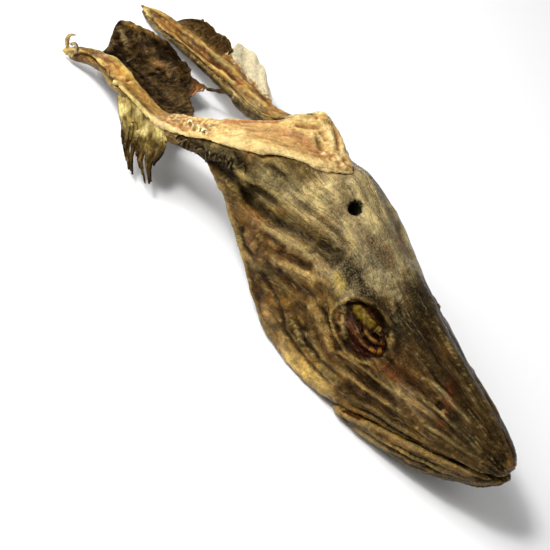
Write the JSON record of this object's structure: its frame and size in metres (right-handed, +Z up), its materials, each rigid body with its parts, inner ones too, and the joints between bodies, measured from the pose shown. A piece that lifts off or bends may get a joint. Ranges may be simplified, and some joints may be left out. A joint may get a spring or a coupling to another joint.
{
  "type": "dried stockfish head",
  "caption": "Air-dried fish head with its cut collar: a ridged wedge of leathery skin, open gill chamber behind, bare flesh rim and curled fins.",
  "frame": {"origin": "middle of the bounding box at the ground the piece rests on", "axes": "+X towards the snout, +Y to the fish's left, +Z up"},
  "size_m": [0.3726, 0.1268, 0.0849],
  "materials": {
    "dried_skin": "dried fish skin, olive brown, satin",
    "jaw_skin": "dried skin over the jaw, brown with amber edges, satin",
    "dried_eye": "shrunken dried eye, dark amber, glossy in places",
    "cut_flesh": "dried fish flesh, cream to amber, fibrous",
    "dark_skin": "dried throat skin, dark grey brown, matt",
    "fin": "dried fin, olive and brown rays, satin",
    "membrane": "thin pale dried membrane"
  },
  "bodies": {
    "root": {"head": "dried_skin", "lower_jaw": "jaw_skin", "eye_right": "dried_eye", "eye_left": "dried_eye", "flesh_nape": "cut_flesh", "flesh_right": "cut_flesh", "flesh_left": "cut_flesh", "collar_right": "dried_skin", "collar_left": "dried_skin", "throat_skin": "dark_skin", "fin_right": "fin", "fin_left": "fin", "membrane_left": "membrane"}
  },
  "joints": []
}
